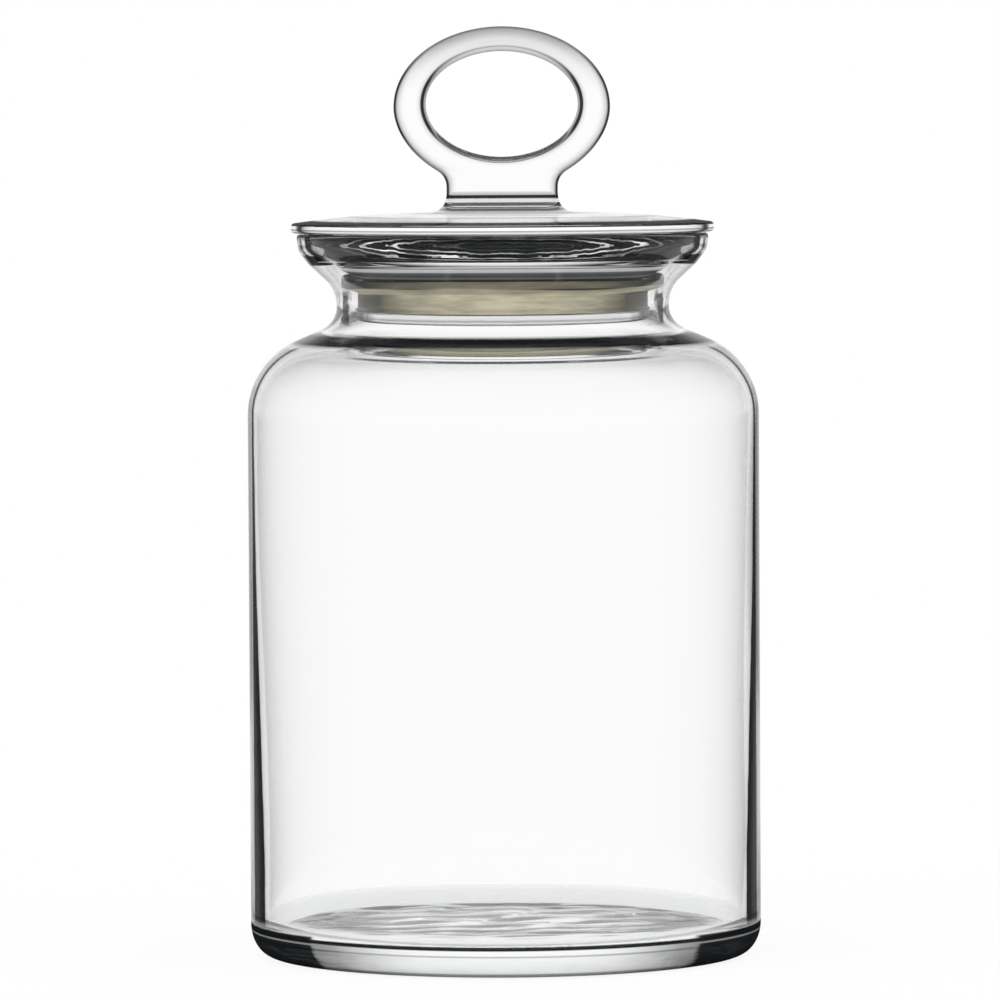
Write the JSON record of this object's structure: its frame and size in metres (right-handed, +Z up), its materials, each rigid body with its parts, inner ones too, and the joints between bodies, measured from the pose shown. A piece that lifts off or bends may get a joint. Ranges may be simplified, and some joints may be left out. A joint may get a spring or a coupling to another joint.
{
  "type": "lidded glass canister",
  "caption": "Cylindrical glass storage canister with a waisted neck and a plug-in glass lid that has a ring handle and a soft plastic seal.",
  "frame": {"origin": "centre of the foot, on the surface that the canister stands on", "axes": "+Z up along the canister's axis; the ring handle is wide along X and its finger hole runs along Y"},
  "size_m": [0.121, 0.121, 0.2196],
  "materials": {
    "jar_glass": "clear, fire polished",
    "lid_glass": "clear, pressed",
    "handle_glass": "clear, pressed",
    "seal_plastic": "translucent, soft"
  },
  "bodies": {
    "jar": {"jar": "jar_glass"},
    "seal": {"seal_ring": "seal_plastic"},
    "lid": {"lid": "lid_glass", "ring_handle": "handle_glass"}
  },
  "joints": [
    {"name": "lid_lift", "type": "slide", "parent": "jar", "child": "seal", "axis": [0, 0, 1], "range_m": [0, 0.08]},
    {"name": "lid_turn", "type": "hinge", "parent": "seal", "child": "lid", "pos_m": [0, 0, 0.17], "axis": [0, 0, 1], "continuous": true}
  ]
}
